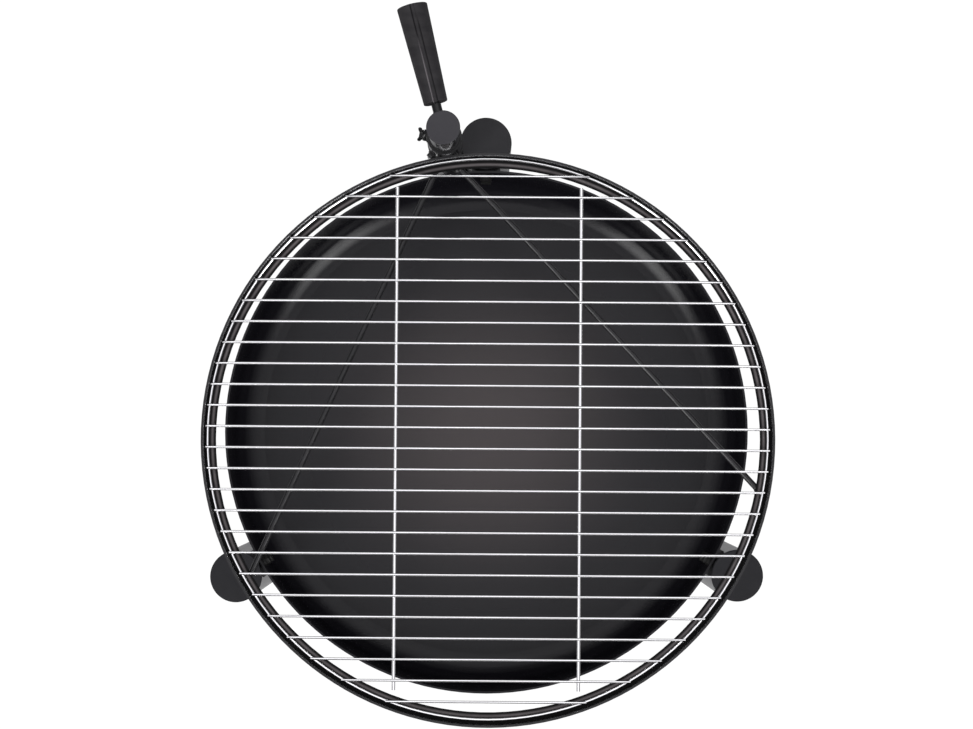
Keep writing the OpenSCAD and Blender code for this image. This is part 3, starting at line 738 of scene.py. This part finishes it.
# %% [markdown]
# ## Nuts on the sleeve and the collar
#
# The wing screw and the collar's screw turn in welded nuts, and so does the handle's rod.
# Each stands on its tube's round side, so the tube is cut out of its seat.

# %% Welded nuts
SLEEVE_RADIUS = (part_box("swivel_sleeve")[1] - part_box("swivel_sleeve")[0]).x / 2
COLLAR_RADIUS = (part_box("stop_collar")[1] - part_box("stop_collar")[0]).x / 2
WELD_SEAT = 0.5 * MM
SMALL_NUT = (10 * MM, 4 * MM, 6.1 * MM)  # flats, height, bore
HANDLE_NUT = (16 * MM, 8 * MM, 9 * MM)

wing_origin, wing_axis = joint_line("wing_screw_turn")
collar_origin, collar_axis = joint_line("collar_screw_turn")
handle_origin = at_height(post_axis, middle("handle_rod").z)


def welded_nut(name, body, sizes, origin, axis, tube_radius, finish):
    piece = lay(nut(*sizes), origin + axis * (tube_radius - WELD_SEAT), axis)
    bpy.ops.mesh.primitive_cylinder_add(
        vertices=96, radius=tube_radius, depth=60 * MM, location=origin
    )
    tube = bpy.context.object
    apply_place(tube)
    boolean(piece, tube, "DIFFERENCE")
    finish_piece(piece, name + "_turned", body, finish)
    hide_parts(name)


on_sleeve, on_collar = (SLEEVE_RADIUS, tube_coat), (COLLAR_RADIUS, nut_pale_coat)
welded_nut("sleeve_nut", "grill", SMALL_NUT, wing_origin, wing_axis, *on_sleeve)
welded_nut("collar_nut", "collar", SMALL_NUT, collar_origin, collar_axis, *on_collar)
welded_nut("handle_nut", "grill", HANDLE_NUT, handle_origin, handle_run, *on_sleeve)

# %% [markdown]
# ## Wing screw
#
# The butterfly is a small casting. Its hub tapers, and each wing is a row of discs that run
# from the hub to the round tip. A fine remesh melts them into one body, and smoothing gives
# the soft edges of a casting that has been dipped in paint.

# %% Cast wing screw
SCREW_START = 14.3 * MM
HUB_START = SLEEVE_RADIUS - WELD_SEAT + SMALL_NUT[1] + 0.3 * MM
HUB_RADII = (5 * MM, 3.5 * MM)
HUB_HEIGHT = 3.65 * MM
WING_ROOT = Vector((2.2, 0, 1.5)) * MM
WING_TIP = Vector((8.1, 0, 3.4)) * MM
WING_RADII = (1.5 * MM, 1.8 * MM)
WING_THICKNESS = (2.2 * MM, 1.3 * MM)
WING_DISCS = 9
WING_TURN = math.radians(30)
CASTING_VOXEL = 0.28 * MM


def mixed(ends, share):
    return ends[0] + (ends[1] - ends[0]) * share


def remesh(piece, voxel, smoothing):
    remesher = piece.modifiers.new("remesh", "REMESH")
    remesher.mode = "VOXEL"
    remesher.voxel_size = voxel
    smoother = piece.modifiers.new("smooth", "SMOOTH")
    smoother.factor = 0.5
    smoother.iterations = smoothing
    apply_modifiers(piece)


bpy.ops.mesh.primitive_cone_add(
    vertices=64, radius1=HUB_RADII[0], radius2=HUB_RADII[1], depth=HUB_HEIGHT,
    location=(0, 0, HUB_START + HUB_HEIGHT / 2),
)
casting = [bpy.context.object]
shank_length = HUB_START + HUB_HEIGHT / 2 - SCREW_START
bpy.ops.mesh.primitive_cylinder_add(
    vertices=48, radius=BOLT_SHANK / 2, depth=shank_length,
    location=(0, 0, SCREW_START + shank_length / 2),
)
casting.append(bpy.context.object)
for side in (1, -1):
    for step in range(WING_DISCS):
        share = step / (WING_DISCS - 1)
        place = WING_ROOT.lerp(WING_TIP, share)
        bpy.ops.mesh.primitive_cylinder_add(
            vertices=40,
            radius=mixed(WING_RADII, share),
            depth=mixed(WING_THICKNESS, share),
            location=(0, side * place.x, HUB_START + place.z),
            rotation=(0, math.radians(90), 0),
        )
        casting.append(bpy.context.object)
wing_screw = join("wing_screw_cast", casting)
wing_screw.matrix_world = Matrix.Rotation(WING_TURN, 4, "Z") @ wing_screw.matrix_world
apply_place(wing_screw)
remesh(wing_screw, CASTING_VOXEL, 4)
lay(wing_screw, wing_origin, wing_axis)
finish_piece(wing_screw, "wing_screw_cast", "wing_screw", tube_coat)
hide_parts("wing_screw")

# %% [markdown]
# ## Weld beads
#
# A bead is a row of drops laid along a line. Drops of slightly uneven size, melted together,
# leave the ripples of a bead. They are placed where the CAD pieces meet: hoop and sleeve,
# arms and sleeve, arms and ledge, and round each nut. Tacks under the ring hold the ledge.

# %% Beads
RING_DIRECTION = at_height(ring_axis - post_axis, 0).normalized()
ACROSS = Vector((-RING_DIRECTION.y, RING_DIRECTION.x, 0))
DROP_STEP = 0.55  # of a drop's radius
UNEVEN = 0.09
BEAD_VOXEL = 0.32 * MM


def drops(points, radius):
    """Drops along a line of points, as a list of objects."""
    made = []
    for start, end in zip(points, points[1:]):
        count = max(1, round((end - start).length / (DROP_STEP * radius)))
        for step in range(count):
            bpy.ops.mesh.primitive_ico_sphere_add(
                subdivisions=2,
                radius=radius * (1 + UNEVEN * math.sin(2.3 * len(made))),
                location=start.lerp(end, step / count),
            )
            made.append(bpy.context.object)
    return made


def round_the_nut(origin, axis, tube_radius, reach, radius):
    """Drops where a nut's foot meets its tube."""
    sideways = Vector((-axis.y, axis.x, 0))
    points = []
    for step in range(25):
        angle = 2 * math.pi * step / 24
        across = reach * math.cos(angle)
        out = math.sqrt(tube_radius**2 - across**2) + 0.1 * MM
        points.append(
            origin + axis * out + sideways * across + Vector((0, 0, reach * math.sin(angle)))
        )
    return drops(points, radius)


beads = []

# Two upright beads, where the hoop meets the sleeve.
HOOP_BEAD = 2.1 * MM
HOOP_BEAD_INSET = 1.5 * MM
for side in (1, -1):
    foot = post_axis + RING_DIRECTION * 15.2 * MM + ACROSS * side * 7.4 * MM
    low_end = at_height(foot, ring_under + HOOP_BEAD_INSET)
    high_end = at_height(foot, ring_top - HOOP_BEAD_INSET)
    beads += drops([low_end, high_end], HOOP_BEAD)

# Two wavy beads round the sleeve, above and below the arms' roots.
ARM_HALF = math.radians(33.7)
ARM_SKEW = math.radians(0.9)
ARM_APEX = 9.5 * MM
ARM_SHIFT = -1.7 * MM
ARM_RADIUS = (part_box("arm_left")[1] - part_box("arm_left")[0]).z / 2
ARM_HEIGHT = middle("arm_left").z
for level in (-1, 1):
    arc = []
    for step in range(15):
        turn = (step / 7 - 1) * math.radians(33)
        out = RING_DIRECTION * math.cos(turn) + ACROSS * math.sin(turn)
        wave = ARM_RADIUS * (0.62 + 0.38 * abs(math.sin(2.7 * turn)))
        arc.append(
            at_height(post_axis, ARM_HEIGHT + level * wave) + out * (SLEEVE_RADIUS + 0.2 * MM)
        )
    beads += drops(arc, 1.3 * MM)

# Two short beads beside each arm's end, under the ledge.
LEDGE_MIDDLE = 254 * MM
apex = at_height(post_axis, 0) + RING_DIRECTION * ARM_APEX + ACROSS * ARM_SHIFT
to_ring = at_height(ring_axis, 0) - apex
for side in (1, -1):
    arm_turn = ARM_SKEW + side * ARM_HALF
    along = RING_DIRECTION * math.cos(arm_turn) + ACROSS * math.sin(arm_turn)
    beside = Vector((-along.y, along.x, 0))
    middle_reach = to_ring.dot(along)
    miss = (to_ring - along * middle_reach).length
    reach = middle_reach + math.sqrt(LEDGE_MIDDLE**2 - miss**2)
    for edge in (1, -1):
        end = apex + along * reach + beside * edge * (ARM_RADIUS - 0.4 * MM)
        end = at_height(end, ring_under - 0.9 * MM)
        beads += drops([end - along * 4.5 * MM, end + along * 0.5 * MM], 1.2 * MM)

# Tacks between hoop and ledge.
TACKS = 9
TACK_RADIUS = 1.3 * MM
HOOP_INSIDE = 259 * MM
for tack in range(TACKS):
    start = 2 * math.pi * (tack + 0.5) / TACKS
    points = []
    for step in range(5):
        turn = start + step * 3 * MM / HOOP_INSIDE
        out = RING_DIRECTION * math.cos(turn) + ACROSS * math.sin(turn)
        points.append(at_height(ring_axis, ring_under + 0.35 * MM) + out * HOOP_INSIDE)
    beads += drops(points, TACK_RADIUS)

beads += round_the_nut(wing_origin, wing_axis, SLEEVE_RADIUS, 5.5 * MM, 0.9 * MM)
beads += round_the_nut(handle_origin, handle_run, SLEEVE_RADIUS, 8.7 * MM, 1.3 * MM)
grill_welds = join("grill_welds", beads)
apply_place(grill_welds)
remesh(grill_welds, BEAD_VOXEL, 1)
finish_piece(grill_welds, "grill_welds", "grill", weld_coat)

collar_weld = join(
    "collar_weld", round_the_nut(collar_origin, collar_axis, COLLAR_RADIUS, 5.5 * MM, 0.9 * MM)
)
apply_place(collar_weld)
remesh(collar_weld, BEAD_VOXEL, 1)
finish_piece(collar_weld, "collar_weld", "collar", weld_coat)

# %% [markdown]
# ## Spot welds of the grate
#
# Every rod is spot-welded to the round wire at both ends, and to the two cross rods. The
# squeeze leaves a small flattened lump at each crossing, plated over with the rest.

# %% Spot welds
ROD_COUNT = 26
ROD_PITCH = 19.2 * MM
CROSS_GAP = 168.5 * MM
ROD_TURN = math.radians(-0.5)
SPOT_RADIUS = 1.0 * MM
SPOT_SQUEEZE = (1.5, 1.45, 0.75)
SPOT_SINK = 0.1 * MM
grate_axis = middle("grate_ring")
wire_low, wire_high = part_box("grate_ring")
wire_thickness = (wire_high - wire_low).z
wire_radius = (wire_high - wire_low).x / 2 - wire_thickness / 2
cross_reach = (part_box("grate_cross_rods")[1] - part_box("grate_cross_rods")[0]).y / 2
along_rods = Vector((math.cos(ROD_TURN), math.sin(ROD_TURN), 0))
across_rods = Vector((-along_rods.y, along_rods.x, 0))

spots = []
for rod in range(ROD_COUNT):
    off = (rod - (ROD_COUNT - 1) / 2) * ROD_PITCH
    ring_crossing = math.sqrt(wire_radius**2 - off**2)
    crossings = [-ring_crossing, ring_crossing]
    if abs(off) < cross_reach:
        crossings += [-CROSS_GAP / 2, CROSS_GAP / 2]
    for run in crossings:
        place = grate_axis + along_rods * run + across_rods * off
        bpy.ops.mesh.primitive_ico_sphere_add(
            subdivisions=2,
            radius=SPOT_RADIUS,
            scale=SPOT_SQUEEZE,
            location=at_height(place, wire_high.z - SPOT_SINK),
        )
        spots.append(bpy.context.object)
grate_spots = join("grate_spot_welds", spots)
apply_place(grate_spots)
finish_piece(grate_spots, "grate_spot_welds", "grate", chrome)
